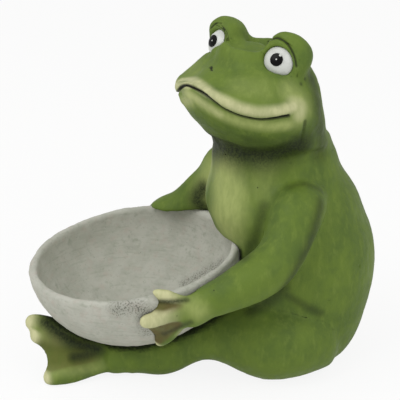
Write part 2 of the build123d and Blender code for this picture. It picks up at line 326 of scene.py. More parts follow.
@dataclass(frozen=True)
class Sight:
    """The camera of the picture: where it stands and how a spot of the picture meets the clay."""

    azimuth: float = 77.0
    elevation: float = 22.0
    distance: float = 1100.0
    aim: Triple = (0.0, -60.0, 120.0)
    focal: float = 1447.6
    aim_spot: Spot = (207.0, 208.0)
    width: float = 400.0
    sensor: float = 36.0
    clip: tuple[float, float] = (0.05, 30.0)

    def axes(self) -> tuple[Vector, Vector, Vector]:
        """Works out how the camera stands.

        Returns:
            The directions towards it, to its right and up.
        """
        back = towards(self.azimuth, self.elevation)
        turn = math.radians(self.azimuth)
        right = Vector((math.cos(turn), math.sin(turn), 0.0))
        return back, right, back.cross(right)

    def eye(self) -> Vector:
        """Where the camera stands, in millimetres."""
        return Vector(self.aim) + self.axes()[0] * self.distance

    def ray(self, spot: Spot) -> Vector:
        """Aims a sight line.

        Args:
            spot: The spot of the picture.

        Returns:
            The direction from the camera through the spot.
        """
        back, right, up = self.axes()
        across = (spot[0] - self.aim_spot[0]) / self.focal
        down = (spot[1] - self.aim_spot[1]) / self.focal
        return (right * across - up * down - back).normalized()

    def place(self) -> None:
        """Makes the camera and gives it to the scene."""
        back, _, _ = self.axes()
        data = bpy.data.cameras.new("picture_camera")
        data.sensor_width = self.sensor
        data.lens = self.focal / self.width * self.sensor
        data.shift_x = (self.width / 2 - self.aim_spot[0]) / self.width
        data.shift_y = (self.aim_spot[1] - self.width / 2) / self.width
        data.clip_start, data.clip_end = self.clip
        camera = bpy.data.objects.new("picture_camera", data)
        camera.location = self.eye() * MM
        camera.rotation_mode = "QUATERNION"
        camera.rotation_quaternion = (-back).to_track_quat("-Z", "Y")
        bpy.context.scene.collection.objects.link(camera)
        bpy.context.scene.camera = camera


@dataclass
class Surface:
    """A piece as a tree of faces, as it is now, that sight lines can meet."""

    piece: Piece
    sight: Sight
    steps_between: int = 6

    def __post_init__(self) -> None:
        """Builds the tree."""
        self.tree = BVHTree.FromObject(self.piece, bpy.context.evaluated_depsgraph_get())

    def meet(self, spot: Spot) -> Vector | None:
        """Where the sight line through a spot first meets the piece, in millimetres."""
        hit, _, _, _ = self.tree.ray_cast(self.sight.eye() * MM, self.sight.ray(spot))
        return hit / MM if hit else None

    def path(self, line: Line) -> Rows:
        """Lays a curve through the spots of a line on the piece.

        Args:
            line: The spots, or one spot.

        Returns:
            The curve's corners in millimetres, without those that miss the piece.
        """
        spots = np.array(line)
        if len(spots) > 1:
            steps = np.linspace(0, len(spots) - 1, (len(spots) - 1) * self.steps_between + 1)
            low = np.minimum(steps.astype(int), len(spots) - 2)
            share = (steps - low)[:, None]
            before, after = spots[np.maximum(low - 1, 0)], spots[np.minimum(low + 2, len(spots) - 1)]
            here, there = spots[low], spots[low + 1]
            spots = here + 0.5 * share * (
                there - before
                + share * (2 * before - 5 * here + 4 * there - after
                           + share * (3 * (here - there) + after - before))
            )
        met = [self.meet((float(x), float(y))) for x, y in spots]
        return np.array([tuple(hit) for hit in met if hit])


class Side(Enum):
    """Which sides of the figure a stroke is made on."""

    SEEN = "seen"
    BOTH = "both"


class Paint(Enum):
    """The coats over the green, each stored on the clay under its own name."""

    # Pale paint, which also paints highlights on the cheek and brow
    PALE = "pale"
    UMBER = "umber"
    CREAM = "cream"
    # Dark wash, which also paints the shade in hollows, creases, under the chin and under the bowl
    WASH = "wash"
    INK = "ink"


@dataclass(frozen=True)
class Stroke:
    """One stroke of a brush along spots of the picture, full up to its core and faded out at its width.

    On both sides it is also mirrored: about the head's middle plane there, about the figure's elsewhere.
    """

    spots: Line
    width: float
    strength: float
    side: Side = Side.BOTH
    core: float = 0.0

    def coat(self, points: Rows, line: Rows) -> Rows:
        """How much of the paint each point has from a stroke along a line."""
        fade = (self.width - distance_to_path(points, line)) / (self.width - self.core)
        return self.strength * smooth_step(fade)


@dataclass(frozen=True)
class Push:
    """A push of the thumb on the soft clay: a spot of the picture, a reach and a move, in millimetres."""

    spot: Spot
    reach: float
    move: Triple


@dataclass(frozen=True)
class Digit:
    """A finger or toe: its ends, how thick it is and how much the clay swells on it, in millimetres."""

    root: Triple
    tip: Triple
    girth: float
    swell: float
    toe: bool = False

    def across(self, back: float) -> "Digit":
        """The same digit on the figure's other side, so many millimetres further back."""
        root, tip = [(-x, y + back, z) for x, y, z in (self.root, self.tip)]
        return replace(self, root=root, tip=tip)


@dataclass(frozen=True)
class Web:
    """A web between two digits, given by their places in the row of digits.

    It goes the share far along them, its edge draws back by a share, and its middle sinks towards
    the bowl by millimetres.
    """

    one: int
    other: int
    far: float
    drawn: float
    sunk: float


@dataclass
class Clay:
    """The whole green figure as one skin, fused, shaped and painted before it is parted."""

    sight: Sight
    nodes: tuple[str, ...] = (
        "torso", "head", "left_arm", "right_arm", "left_leg", "right_leg",
        "left_eyelid", "right_eyelid",
    )
    head_turn: float = 28.0
    neck: Triple = (0.0, -8.84, 168.0)
    bowl_along: float = -119.0

    # How the solids are fused: sizes in millimetres, and passes of smoothing
    voxel: float = 1.3
    fillet: float = 2.2
    fillet_passes: int = 4
    skin_passes: int = 3
    web_thickness: float = 4.2
    web_cells: int = 12

    # How the lumps are levelled out: away from the eyes, and above the hands and feet
    eye_patch: float = 1.9
    crown_patch: float = 1.6
    patch_fade: float = 13.0
    level_above: float = 60.0
    level_over: float = 25.0
    level_passes: int = 26
    foot_edge: float = 3.0
    all_passes: int = 5
    crown: Spot = (248, 43)
    crown_passes: int = 60
    pushes: tuple[Push, ...] = (
        Push((257, 38.5), 22, (0.0, 0.0, -1.6)),
        Push((232, 18), 14, (0.0, 0.0, -1.6)),
        Push((282, 33.5), 13, (0.0, -0.8, 1.0)),
        Push((179, 80), 18, (0.5, 1.6, 0.0)),
        Push((192, 69), 27, (0.5, 2.6, -3.0)),
        Push((181, 97), 12, (0.0, -1.6, -0.3)),
        Push((215, 27), 13, (-0.8, -3.8, 0.6)),
        Push((222, 47), 9, (0.0, 0.0, 2.6)),
        Push((311, 54), 13, (0.2, 1.2, 0.0)),
        Push((317, 86), 14, (0.0, -1.4, 0.0)),
        Push((366, 215), 62, (0.0, -3.4, 0.0)),
        Push((328, 348), 64, (0.5, 6.5, -2.0)),
        Push((190, 187), 22, (0.0, -3.0, 5.2)),
        Push((214, 52), 8, (-0.3, -1.4, 2.0)),
        Push((191, 318), 18, (0.0, -0.6, -6.0)),
        Push((160, 291), 9, (0.0, -4.6, 0.6)),
        Push((249, 45), 15, (0.0, 0.4, 2.2)),
    )

    # The carved lines, of which the mouth runs from the muzzle's far side to the near corner
    drawn: tuple[tuple[str, Line], ...] = (
        ("mouth", (
            (180.5, 87.6), (186, 84.7), (194, 87.6), (203, 93.4), (213, 101.2), (225, 109.6),
            (238, 115.3), (252, 118.8), (263, 119.8), (273.8, 118.8), (282, 117.2), (288.5, 116.1),
        )),
        ("near_groove", (
            (268, 41.5), (271.5, 38.9), (278.5, 38.2), (287.3, 43.8), (293.4, 54.3), (296.4, 66.5),
        )),
        ("far_groove", ((210.8, 27.5), (216, 23.6), (222.5, 28), (226, 33.3), (227.5, 40))),
        ("jaw", ((305, 121.6), (303, 132), (301, 142))),
        ("throat", ((215, 141), (228, 147), (245, 152), (262, 153), (280, 150), (296, 143))),
        ("nostril", ((211.2, 67.4), (211.9, 70.8))),
        ("hollow", ((76, 357), (84, 355), (92, 352))),
    )
    pinholes: Line = ((328.8, 301), (359.6, 266), (291, 348))

    # Beyond this distance from the head's middle, the mouth's far half is the near one mirrored
    mouth_seen: float = 32.0
    lip_above: float = 4.2
    lip_below: float = 4.5
    fine_reach: float = 5.0

    # For each line its tool's reach and depth in millimetres, where a ridge is below 0
    tools: Table = (
        ("upper_lip", 5.5, -0.9), ("lower_lip", 5.0, 0.7), ("mouth", 2.2, 2.6),
        ("near_groove", 1.7, 1.3), ("far_groove", 1.7, 1.3), ("throat", 9.0, 1.6),
        ("far_throat", 9.0, 1.6), ("jaw", 2.2, 1.0), ("far_jaw", 2.2, 1.0),
        ("nostril", 1.3, 1.3), ("hollow", 8.0, 1.6),
    )
    pinhole_tool: tuple[float, float] = (1.6, 1.4)

    # For each line that is drawn in ink, the ink's reach in millimetres and its strength
    inked: Table = (
        ("mouth", 2.0, 1.0), ("near_groove", 1.1, 0.8), ("far_groove", 1.6, 0.8),
    )
    ink_fade: float = 0.6

    # The marks of hands and tools, by width and height in millimetres
    lumps: Table = (("hand_lumps", 11.0, 0.55), ("tool_drag", 3.6, 0.22))

    # How the dark wash and painted shade gather where rays of a length in millimetres are stopped
    coarse: float = 3.6
    rays: int = 44
    reach: float = 36.0
    lift: float = 0.35
    grazing: float = 0.15
    neighbours: int = 3
    wash_and_shade_from: float = 0.26
    wash_and_shade_over: float = 0.42

    # Nearer than this to the head's middle, in millimetres, a stroke isn't mirrored
    middle: float = 6.0
    strokes: tuple[tuple[Paint, tuple[Stroke, ...]], ...] = (
        # Pale green on the belly and chin, with painted highlights on the cheek and brow
        (Paint.PALE, (
            Stroke(((224, 172), (227, 198), (224, 224)), 30, 0.85, core=4),
            Stroke(((262, 168), (258, 190)), 20, 0.25),
            Stroke(((290, 92), (304, 106), (298, 120)), 15, 0.5),
            Stroke(((188, 95), (204, 106), (221, 115.5), (244, 123), (268, 126.5), (290, 125)), 9, 0.75),
            Stroke(((262, 90), (240, 88)), 18, 0.2),
            Stroke(((184, 304), (198, 312)), 15, 0.5),
            Stroke(((30, 318), (46, 332), (58, 338)), 12, 0.5),
            Stroke(((44, 374), (70, 370), (98, 366)), 9, 0.4),
        )),
        (Paint.CREAM, (
            Stroke((
                (181, 80), (190, 79.5), (199, 84), (209, 91.5), (220, 99), (232, 105.5), (245, 110),
                (258, 112.5), (272, 112), (284, 110), (294, 106),
            ), 7.0, 0.8, core=1.0),
            Stroke(((294, 104), (301, 107), (300, 114)), 9, 0.55, core=1),
            Stroke(((183, 92), (194, 97), (206, 105.5), (219, 114)), 6, 0.3),
        )),
        # Dark wash laid as painted shade: under the near eye's dome, under the chin, in the jaw crease,
        # behind the jaw, between the arms and the body, under the bowl's edge on the foot and between the
        # fingers
        (Paint.WASH, (
            Stroke(((214, 145), (228, 149), (245, 153), (264, 154), (282, 151), (300, 146)), 24, 0.95),
            Stroke(((250, 141), (272, 143), (290, 140)), 12, 0.4),
            Stroke(((305, 79),), 2.4, 0.9),
            Stroke(((301, 84),), 2.2, 0.8),
            Stroke(((305, 121), (303.5, 131), (301, 142)), 2.2, 0.7),
            Stroke(((312, 80), (318, 100), (321, 125), (322, 148)), 18, 0.62),
            Stroke(((264, 207), (257, 232), (246, 258)), 8, 0.5),
            Stroke(((290, 187), (305, 184), (320, 190)), 6, 0.35),
            Stroke(((203, 188), (197, 200), (206, 211)), 12, 0.9, Side.SEEN),
            Stroke((
                (321, 205), (317, 222), (310, 243), (300, 263), (289, 281), (273, 297), (250, 311),
            ), 10, 0.6),
            Stroke(((282, 292), (300, 303), (320, 313)), 6, 0.5),
            Stroke(((74, 357), (84, 355), (94, 352)), 8, 0.8),
            Stroke(((46, 322), (60, 333), (78, 344), (98, 349)), 11, 0.95),
            Stroke(((157, 301), (172, 301.5), (187, 300)), 3.5, 0.85),
            Stroke(((164, 334), (178, 328), (191, 322)), 4.0, 0.6),
        )),
        (Paint.UMBER, (
            Stroke(((54, 344), (66, 352), (78, 352)), 20, 0.5),
        )),
        (Paint.INK, (
            Stroke(((211.2, 67.2), (211.9, 71)), 1.6, 1.0, Side.SEEN, 0.5),
        )),
    )

    # The fingers of the left hand, then of the right, and the toes of the left foot
    fingers: tuple[Digit, ...] = (
        Digit((82.3, -84.4, 84.0), (80.2, -116.9, 92.2), 4.6, -0.9),
        Digit((81.2, -83.9, 77.8), (82.8, -128.6, 70.5), 5.6, 0.4),
        Digit((79.9, -83.7, 73.5), (62.4, -111.9, 42.6), 3.8, 1.7),
        Digit((-84.8, -100.8, 74.0), (-78.4, -131.7, 82.2), 4.6, -0.9),
        Digit((-82.4, -100.3, 67.7), (-75.0, -142.1, 60.7), 5.6, 0.4),
        Digit((-80.1, -100.1, 63.3), (-45.9, -119.2, 32.3), 3.8, 1.7),
    )
    toes: tuple[Digit, ...] = (
        Digit((27.2, -125.8, 8.9), (29.1, -192.5, 5.3), 5.0, 1.1, True),
        Digit((24.1, -125.8, 15.0), (13.6, -199.3, 35.6), 5.5, 0.9, True),
        Digit((21.7, -125.8, 19.8), (8.7, -202.0, 45.3), 5.5, 0.6, True),
    )
    right_foot_back: float = 28.0
    swell_past: float = 6.0
    webs: tuple[Web, ...] = (
        Web(0, 1, 0.95, 0.14, 2.6), Web(1, 2, 1.0, 0.05, 1.6), Web(3, 4, 0.95, 0.14, 2.6),
        Web(4, 5, 1.0, 0.05, 1.6), Web(6, 7, 1.0, 0.09, 0.0), Web(9, 10, 1.0, 0.09, 0.0),
    )

    # Cream on the digits: where it begins along one and over what share it comes up
    finger_cream: tuple[float, float] = (0.25, 0.5)
    toe_cream: tuple[float, float] = (0.8, 0.16)
    cream: float = 0.95
    cream_girth: float = 1.35
    cream_fade: float = 0.4
    cream_lean: float = 0.3
    cream_even: float = 0.55
    cream_facing: float = 0.6

    # Umber in the webs, by shares of their length and of a digit's girth
    finger_umber: float = 0.9
    toe_umber: float = 0.45
    umber_past: float = 1.1
    umber_inset: float = 0.45
    umber_fade: float = 3.5
    umber_from: float = 0.2
    umber_over: float = 0.25

    # How far from the skin a solid may be that a face of the skin belongs to
    part_reach: float = 20.0

    @property
    def digits(self) -> tuple[Digit, ...]:
        """The fingers, then the toes of the left foot and of the right."""
        return (*self.fingers, *self.toes, *(toe.across(self.right_foot_back) for toe in self.toes))

    @property
    def head_left(self) -> Rows:
        """The direction to the head's own left."""
        turn = math.radians(self.head_turn)
        return np.array([math.cos(turn), math.sin(turn), 0.0])

    def across_head(self, points: Rows) -> Rows:
        """How far each point is to the left of the head's middle plane."""
        return (points - np.array(self.neck)) @ self.head_left

    def mirrored(self, points: Rows) -> Rows:
        """The points mirrored about the head's middle plane."""
        return points - 2 * self.across_head(points)[:, None] * self.head_left

    def build(self) -> None:
        """Fuses the solids and rounds their joins as a thumb would."""
        self.skin = rename(copy_node(*self.nodes), "skin")
        pick_up(self.skin, *[self.web(web) for web in self.webs])
        bpy.ops.object.join()
        remesh(self.skin, self.voxel)
        apply_modifier(self.skin, "DISPLACE", strength=self.fillet * MM, mid_level=0.0)
        remesh(self.skin, self.voxel)
        soften(self.skin, self.fillet_passes)
        apply_modifier(self.skin, "DISPLACE", strength=-self.fillet * MM, mid_level=0.0)
        remesh(self.skin, self.voxel)
        soften(self.skin, self.skin_passes)
        log.info("skin fused: %d vertices", len(self.skin.data.vertices))

    def web(self, web: Web) -> Piece:
        """Stretches a web of clay between its two digits.

        Args:
            web: The web.

        Returns:
            The web as a thin sheet with thickness.
        """
        lay_down()
        bpy.ops.mesh.primitive_grid_add(
            x_subdivisions=self.web_cells, y_subdivisions=self.web_cells, size=1,
        )
        sheet = bpy.context.object
        one, other = self.digits[web.one], self.digits[web.other]
        for vertex in sheet.data.vertices:
            across = vertex.co.x + 0.5
            bulge = math.sin(math.pi * across)
            along = (vertex.co.y + 0.5) * (web.far - web.drawn * bulge)
            here = Vector(one.root).lerp(Vector(one.tip), along)
            there = Vector(other.root).lerp(Vector(other.tip), along)
            spot = here.lerp(there, across)
            inward = Vector((-spot.x, self.bowl_along - spot.y, 0)).normalized()
            vertex.co = (spot + inward * web.sunk * bulge) * MM
        apply_modifier(sheet, "SOLIDIFY", thickness=self.web_thickness * MM, offset=0.0)
        return sheet

    def level_out(self) -> None:
        """Smooths the lumps that the ovals leave, away from the eyes, hands and feet."""
        points = places(self.skin)
        keep = np.zeros(len(points))
        for name in ("left_eyeball", "right_eyeball"):
            low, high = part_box(name)
            centre = (np.array(low) + np.array(high)) / 2 / MM
            keep = np.maximum(keep, patch(points, centre, self.eye_patch, self.patch_fade))
        height = points[:, 2]
        weigh(self.skin, "soft", (1 - keep) * smooth_step((height - self.level_above) / self.level_over))
        soften(self.skin, self.level_passes, "soft")
        weigh(self.skin, "all_soft", (1 - keep) * (height > self.foot_edge))
        soften(self.skin, self.all_passes, "all_soft")

    def push(self, push: Push) -> None:
        """Moves the clay round one vertex, as the soft drag of a thumb does.

        Args:
            push: Where the thumb lands, how far its drag reaches and how it moves.
        """
        place = Surface(self.skin, self.sight).meet(push.spot)
        if place is None:
            log.warning("push at %s misses the clay", push.spot)
            return
        away = np.linalg.norm(places(self.skin) - np.array(place), axis=1)
        select_vertices(self.skin, np.arange(len(away)) == np.argmin(away))
        bpy.ops.transform.translate(
            value=tuple(step * MM for step in push.move), orient_type="GLOBAL",
            use_proportional_edit=True, proportional_edit_falloff="SMOOTH",
            proportional_size=push.reach * MM, use_proportional_connected=False,
        )
        bpy.ops.object.mode_set(mode="OBJECT")

    def refine(self) -> None:
        """Divides the faces near the inked lines once, so that fine work shows there."""
        points = places(self.skin)
        away = [distance_to_path(points, self.seen[name]) for name, _, _ in self.inked]
        select_vertices(self.skin, np.minimum.reduce(away) < self.fine_reach)
        bpy.ops.mesh.select_mode(type="FACE")
        bpy.ops.mesh.subdivide(number_cuts=1, smoothness=0.0)
        bpy.ops.object.mode_set(mode="OBJECT")

    def carve(self, path: Rows, width: float, depth: float) -> None:
        """Presses a groove into the skin along a path, or raises a ridge.

        Args:
            path: The path's corners.
            width: How far the tool reaches from the path, in millimetres.
            depth: The groove's depth in millimetres, or a ridge's height as a number below 0.
        """
        weigh(self.skin, "tool", smooth_step(1 - distance_to_path(places(self.skin), path) / width))
        apply_modifier(self.skin, "DISPLACE", strength=-depth * MM, mid_level=0.0, vertex_group="tool")

    def draw(self) -> None:
        """Lays the lines and pinholes on the clay, and mirrors the lines of the head's far side."""
        surface = Surface(self.skin, self.sight)
        self.dots = [surface.path((spot,)) for spot in self.pinholes]
        self.seen = {name: surface.path(spots) for name, spots in self.drawn}
        near = self.seen["mouth"]
        far = self.mirrored(near[self.across_head(near) > self.mouth_seen])[::-1]
        mouth = np.concatenate([far, near])
        self.seen |= {
            "mouth": mouth, "upper_lip": mouth + np.array([0.0, 0.0, self.lip_above]),
            "lower_lip": mouth - np.array([0.0, 0.0, self.lip_below]),
            "far_jaw": self.mirrored(self.seen["jaw"]), "far_throat": self.mirrored(self.seen["throat"]),
        }

    def shape(self) -> None:
        """Models the face, creases and pinholes that the picture shows."""
        self.level_out()
        for push in self.pushes:
            self.push(push)
        crown = np.array(Surface(self.skin, self.sight).meet(self.crown))
        weigh(self.skin, "crown", patch(places(self.skin), crown, self.crown_patch, self.patch_fade))
        soften(self.skin, self.crown_passes, "crown")
        self.draw()
        self.refine()
        for digit in self.digits:
            self.carve(np.array([digit.root, digit.tip]), digit.girth + self.swell_past, -digit.swell)
        points = places(self.skin)
        self.ink = np.zeros(len(points))
        for name, width, strength in self.inked:
            line = smooth_step((width - distance_to_path(points, self.seen[name])) / (width * self.ink_fade))
            self.ink = np.maximum(self.ink, strength * line)
        for name, width, depth in self.tools:
            self.carve(self.seen[name], width, depth)
        for dot in self.dots:
            self.carve(dot, *self.pinhole_tool)
        log.info("skin shaped: %d vertices", len(self.skin.data.vertices))

    def work_over(self) -> None:
        """Leaves the small unevenness of clay that was worked by hand, and a flat seat."""
        roughen(self.skin, self.lumps)
        standing = places(self.skin)
        standing[:, 2] = np.maximum(standing[:, 2], 0.0)
        self.skin.data.vertices.foreach_set("co", (standing * MM).astype(np.float32).ravel())
        self.skin.data.update()

    def hollows(self) -> Rows:
        """Measures how shut in each place is, by rays from a coarse copy of the skin.

        Returns:
            For each vertex, from 0 in the open to 1 where the clay shuts out all.
        """
        pick_up(self.skin)
        bpy.ops.object.duplicate()
        coarse = bpy.context.object
        remesh(coarse, self.coarse)
        graph = bpy.context.evaluated_depsgraph_get()
        walls = [BVHTree.FromObject(wall, graph) for wall in (coarse, frame["nodes"]["bowl"])]
        turn = math.pi * (3 - math.sqrt(5))
        heights = [1 - 2 * (i + 0.5) / self.rays for i in range(self.rays)]
        wide = [math.sqrt(1 - h * h) for h in heights]
        rays = [
            Vector((math.cos(i * turn) * wide[i], math.sin(i * turn) * wide[i], heights[i]))
            for i in range(self.rays)
        ]
        reach = self.reach * MM
        spread = KDTree(len(coarse.data.vertices))
        shut = []
        for vertex in coarse.data.vertices:
            normal = vertex.normal
            start = vertex.co + normal * self.coarse * self.lift * MM
            stopped, total = 0.0, 0.0
            for ray in rays:
                facing = ray.dot(normal)
                if facing > self.grazing:
                    total += facing
                    gaps = [wall.ray_cast(start, ray, reach)[3] for wall in walls]
                    near = min((gap for gap in gaps if gap is not None), default=reach)
                    stopped += facing * (1 - near / reach)
            spread.insert(vertex.co, vertex.index)
            shut.append(stopped / total)
        spread.balance()
        bpy.data.objects.remove(coarse)
        return np.array([
            sum(shut[index] for _, index, _ in spread.find_n(point, self.neighbours)) / self.neighbours
            for point in self.points * MM
        ])

    def lay(self, kind: Paint, coat: Rows) -> None:
        """Lays a coat of paint over the coats of its kind."""
        self.coats[kind] = np.maximum(self.coats[kind], coat)

    def brush(self) -> None:
        """Follows the strokes of paint, some of which paint shade and highlights."""
        surface = Surface(self.skin, self.sight)
        for kind, stroke in ((kind, stroke) for kind, strokes in self.strokes for stroke in strokes):
            path = surface.path(stroke.spots)
            if not len(path):
                log.warning("stroke at %s misses the clay", stroke.spots[0])
                continue
            self.lay(kind, stroke.coat(self.points, path))
            on_head = path[:, 2].mean() > self.neck[2]
            if stroke.side is Side.BOTH and on_head:
                far_path = self.mirrored(path[self.across_head(path) > self.middle])
                self.lay(kind, stroke.coat(self.points, far_path))
            elif stroke.side is Side.BOTH:
                self.lay(kind, stroke.coat(self.points, path * np.array([-1.0, 1.0, 1.0])))

    def cream_digits(self) -> None:
        """Brushes cream on the outer side of the fingers and on the ends of the toes."""
        normals = vectors(self.skin.data.vertices, "normal")
        for digit in self.digits:
            along, away = beside(self.points, np.array(digit.root), np.array(digit.tip))
            outward = np.array([np.sign(digit.root[0]), -self.cream_lean, self.cream_lean])
            proud = normals @ (outward / np.linalg.norm(outward))
            begin, over = self.toe_cream if digit.toe else self.finger_cream
            ridge = smooth_step((digit.girth * self.cream_girth - away) / (digit.girth * self.cream_fade))
            reach = smooth_step((along - begin) / over)
            facing = smooth_step(self.cream_even + self.cream_facing * proud)
            self.lay(Paint.CREAM, self.cream * ridge * reach * facing)

    def brown_webs(self) -> None:
        """Rubs umber into the webs."""
        for web in self.webs:
            one, other = self.digits[web.one], self.digits[web.other]
            root = (np.array(one.root) + np.array(other.root)) / 2
            tip = (np.array(one.tip) + np.array(other.tip)) / 2
            along, away = beside(self.points, root, tip, self.umber_past)
            spread = np.linalg.norm(np.array(one.tip) - np.array(other.tip)) / 2
            half = spread * along - one.girth * self.umber_inset
            across = smooth_step((half - away) / self.umber_fade + 0.5)
            reach = smooth_step((along - self.umber_from) / self.umber_over)
            self.lay(Paint.UMBER, (self.toe_umber if one.toe else self.finger_umber) * (across * reach))

    def paint(self) -> None:
        """Stores how much of each coat every place of the skin has."""
        self.points = places(self.skin)
        self.coats = {kind: np.zeros(len(self.points)) for kind in Paint}
        # Painted shade: the dark wash is laid wherever the clay or the bowl stops the rays
        self.lay(Paint.WASH, smooth_step((self.hollows() - self.wash_and_shade_from) / self.wash_and_shade_over))
        self.lay(Paint.INK, self.ink)
        self.brush()
        self.cream_digits()
        self.brown_webs()
        for kind, coat in self.coats.items():
            mark(self.skin, kind.value, coat)
        pick_up(self.skin)
        bpy.ops.object.shade_smooth()
        log.info("skin painted")

    def part(self) -> dict[str, Piece]:
        """Parts the skin along the joins of the solids, and closes each part inside.

        Returns:
            One object for each node.
        """
        graph = bpy.context.evaluated_depsgraph_get()
        trees = [BVHTree.FromObject(frame["nodes"][name], graph) for name in self.nodes]
        mesh = self.skin.data
        owners = []
        for centre in vectors(mesh.polygons, "center"):
            gaps = [tree.find_nearest(Vector(centre), self.part_reach * MM)[3] or 1.0 for tree in trees]
            owners.append(gaps.index(min(gaps)))
        for name in self.nodes:
            mesh.materials.append(bpy.data.materials.new("part_" + name))
        mesh.polygons.foreach_set("material_index", owners)
        pick_up(self.skin)
        bpy.ops.object.duplicate()
        with editing("FACE", "SELECT"):
            bpy.ops.mesh.separate(type="MATERIAL")
        parts = {}
        for piece in list(bpy.context.selected_objects):
            index = piece.data.polygons[0].material_index
            owner = piece.data.materials[index].name.removeprefix("part_")
            self.close(piece)
            parts[owner] = rename(piece, owner + "_clay")
            report(piece)
        bpy.data.objects.remove(self.skin)
        return parts

    def close(self, piece: Piece) -> None:
        """Fills a part where it was cut, and gives it the whole skin's shading.

        Args:
            piece: The part.
        """
        pick_up(piece)
        with editing("EDGE", "DESELECT"):
            bpy.ops.mesh.select_non_manifold()
            bpy.ops.mesh.fill_holes(sides=0)
        bpy.ops.object.shade_smooth()
        apply_modifier(
            piece, "DATA_TRANSFER", object=self.skin, use_loop_data=True,
            data_types_loops={"CUSTOM_NORMAL"}, loop_mapping="POLYINTERP_NEAREST",
        )
        piece.data.materials.clear()
        piece.vertex_groups.clear()


def empty_tree(owner: Material | bpy.types.World) -> Tree:
    """Gives a material or a world an empty node tree.

    Args:
        owner: The material or world.

    Returns:
        The tree.
    """
    owner.use_nodes = True
    owner.node_tree.nodes.clear()
    return owner.node_tree


def put(
    tree: Tree, kind: str, inputs: dict | None = None, **settings: object
) -> bpy.types.Node:
    """Adds a node with its settings, values and links.

    Args:
        tree: The node tree.
        kind: The node's type.
        inputs: For each input's name or identifier, a value or a (node, output name) pair.
        settings: The node's settings by name.

    Returns:
        The node.
    """
    node = tree.nodes.new(kind)
    for key, value in settings.items():
        setattr(node, key, value)
    for key, value in (inputs or {}).items():
        socket = next(s for s in node.inputs if key in (s.identifier, s.name))
        if isinstance(value, tuple) and isinstance(value[0], bpy.types.Node):
            source = next(s for s in value[0].outputs if value[1] in (s.identifier, s.name))
            tree.links.new(source, socket)
        else:
            socket.default_value = value
    return node


@dataclass(frozen=True)
class Pattern:
    """Cloudy patches, or cells round scattered points, of a size in millimetres.

    They may be stretched by a size for each axis, turned by radians and moved by millimetres.
    """

    name: str
    size: Triple | float
    detail: float = 3.0
    turn: Triple = (0.0, 0.0, 0.0)
    move: Triple = (0.0, 0.0, 0.0)
    cells: bool = False
    roughness: float = 0.6

    def lay(self, tree: Tree, where: Output) -> Output:
        """Adds the pattern to a node tree.

        Args:
            tree: The tree.
            where: Places on the piece in millimetres.

        Returns:
            The pattern, or how far the nearest point of its cells is.
        """
        sizes = self.size if isinstance(self.size, tuple) else (self.size,) * 3
        placed = put(tree, "ShaderNodeMapping", {
            "Vector": where, "Scale": tuple(1 / size for size in sizes), "Rotation": self.turn,
            "Location": tuple(step / size for step, size in zip(self.move, sizes)),
        })
        inputs = {"Vector": (placed, "Vector"), "Scale": 1.0}
        if self.cells:
            return put(tree, "ShaderNodeTexVoronoi", inputs), "Distance"
        inputs |= {"Detail": self.detail, "Roughness": self.roughness}
        return put(tree, "ShaderNodeTexNoise", inputs), "Fac"


@dataclass(frozen=True)
class Share:
    """An amount that runs from least to most as a pattern runs from low to high, or is the most.

    A mask is an attribute of the piece that it is multiplied by.
    """

    pattern: str = ""
    low: float = 0.0
    high: float = 1.0
    least: float = 0.0
    most: float = 1.0
    mask: str = ""

    def lay(self, tree: Tree, patterns: dict[str, Output]) -> Output | float:
        """Works the amount out in a node tree.

        Args:
            tree: The tree.
            patterns: The finish's patterns by name.

        Returns:
            An output or a number.
        """
        amount = self.most
        if self.pattern:
            ramp = put(tree, "ShaderNodeMapRange", {
                "Value": patterns[self.pattern], "From Min": self.low, "From Max": self.high,
                "To Min": self.least, "To Max": self.most,
            }, interpolation_type="SMOOTHSTEP")
            amount = (ramp, "Result")
        if self.mask:
            held = put(tree, "ShaderNodeAttribute", attribute_name=self.mask)
            masked = put(
                tree, "ShaderNodeMath", {"Value": (held, "Fac"), "Value_001": amount},
                operation="MULTIPLY", use_clamp=True,
            )
            amount = (masked, "Value")
        return amount


@dataclass(frozen=True)
class Finish:
    """A surface finish: a ground colour and coats over it, with fine relief in millimetres."""

    name: str
    ground: str
    coats: tuple[tuple[str, Share], ...]
    patterns: tuple[Pattern, ...]
    relief: tuple[tuple[str, float], ...]
    roughness: float | Share
    gloss: float

    def make(self) -> Material:
        """Makes the material, with each coat laid over those before it.

        Returns:
            The material.
        """
        material = bpy.data.materials.new(self.name)
        tree = empty_tree(material)
        where = (put(tree, "ShaderNodeTexCoord"), "Object")
        in_mm = (put(tree, "ShaderNodeMapping", {"Vector": where, "Scale": (1 / MM,) * 3}), "Vector")
        patterns = {pattern.name: pattern.lay(tree, in_mm) for pattern in self.patterns}
        colour = linear(self.ground)
        for tone, share in self.coats:
            coat = put(tree, "ShaderNodeMix", {
                "Factor_Float": share.lay(tree, patterns), "A_Color": colour, "B_Color": linear(tone),
            }, data_type="RGBA")
            colour = (coat, "Result_Color")
        inputs = {"Base Color": colour, "Roughness": self.roughness, "Specular IOR Level": self.gloss}
        if isinstance(self.roughness, Share):
            inputs["Roughness"] = self.roughness.lay(tree, patterns)
        for name, height in self.relief:
            bump = {"Height": patterns[name], "Distance": height * MM, "Strength": 1.0}
            if "Normal" in inputs:
                bump["Normal"] = inputs["Normal"]
            inputs["Normal"] = (put(tree, "ShaderNodeBump", bump), "Normal")
        shader = put(tree, "ShaderNodeBsdfPrincipled", inputs)
        put(tree, "ShaderNodeOutputMaterial", {"Surface": (shader, "BSDF")})
        return material


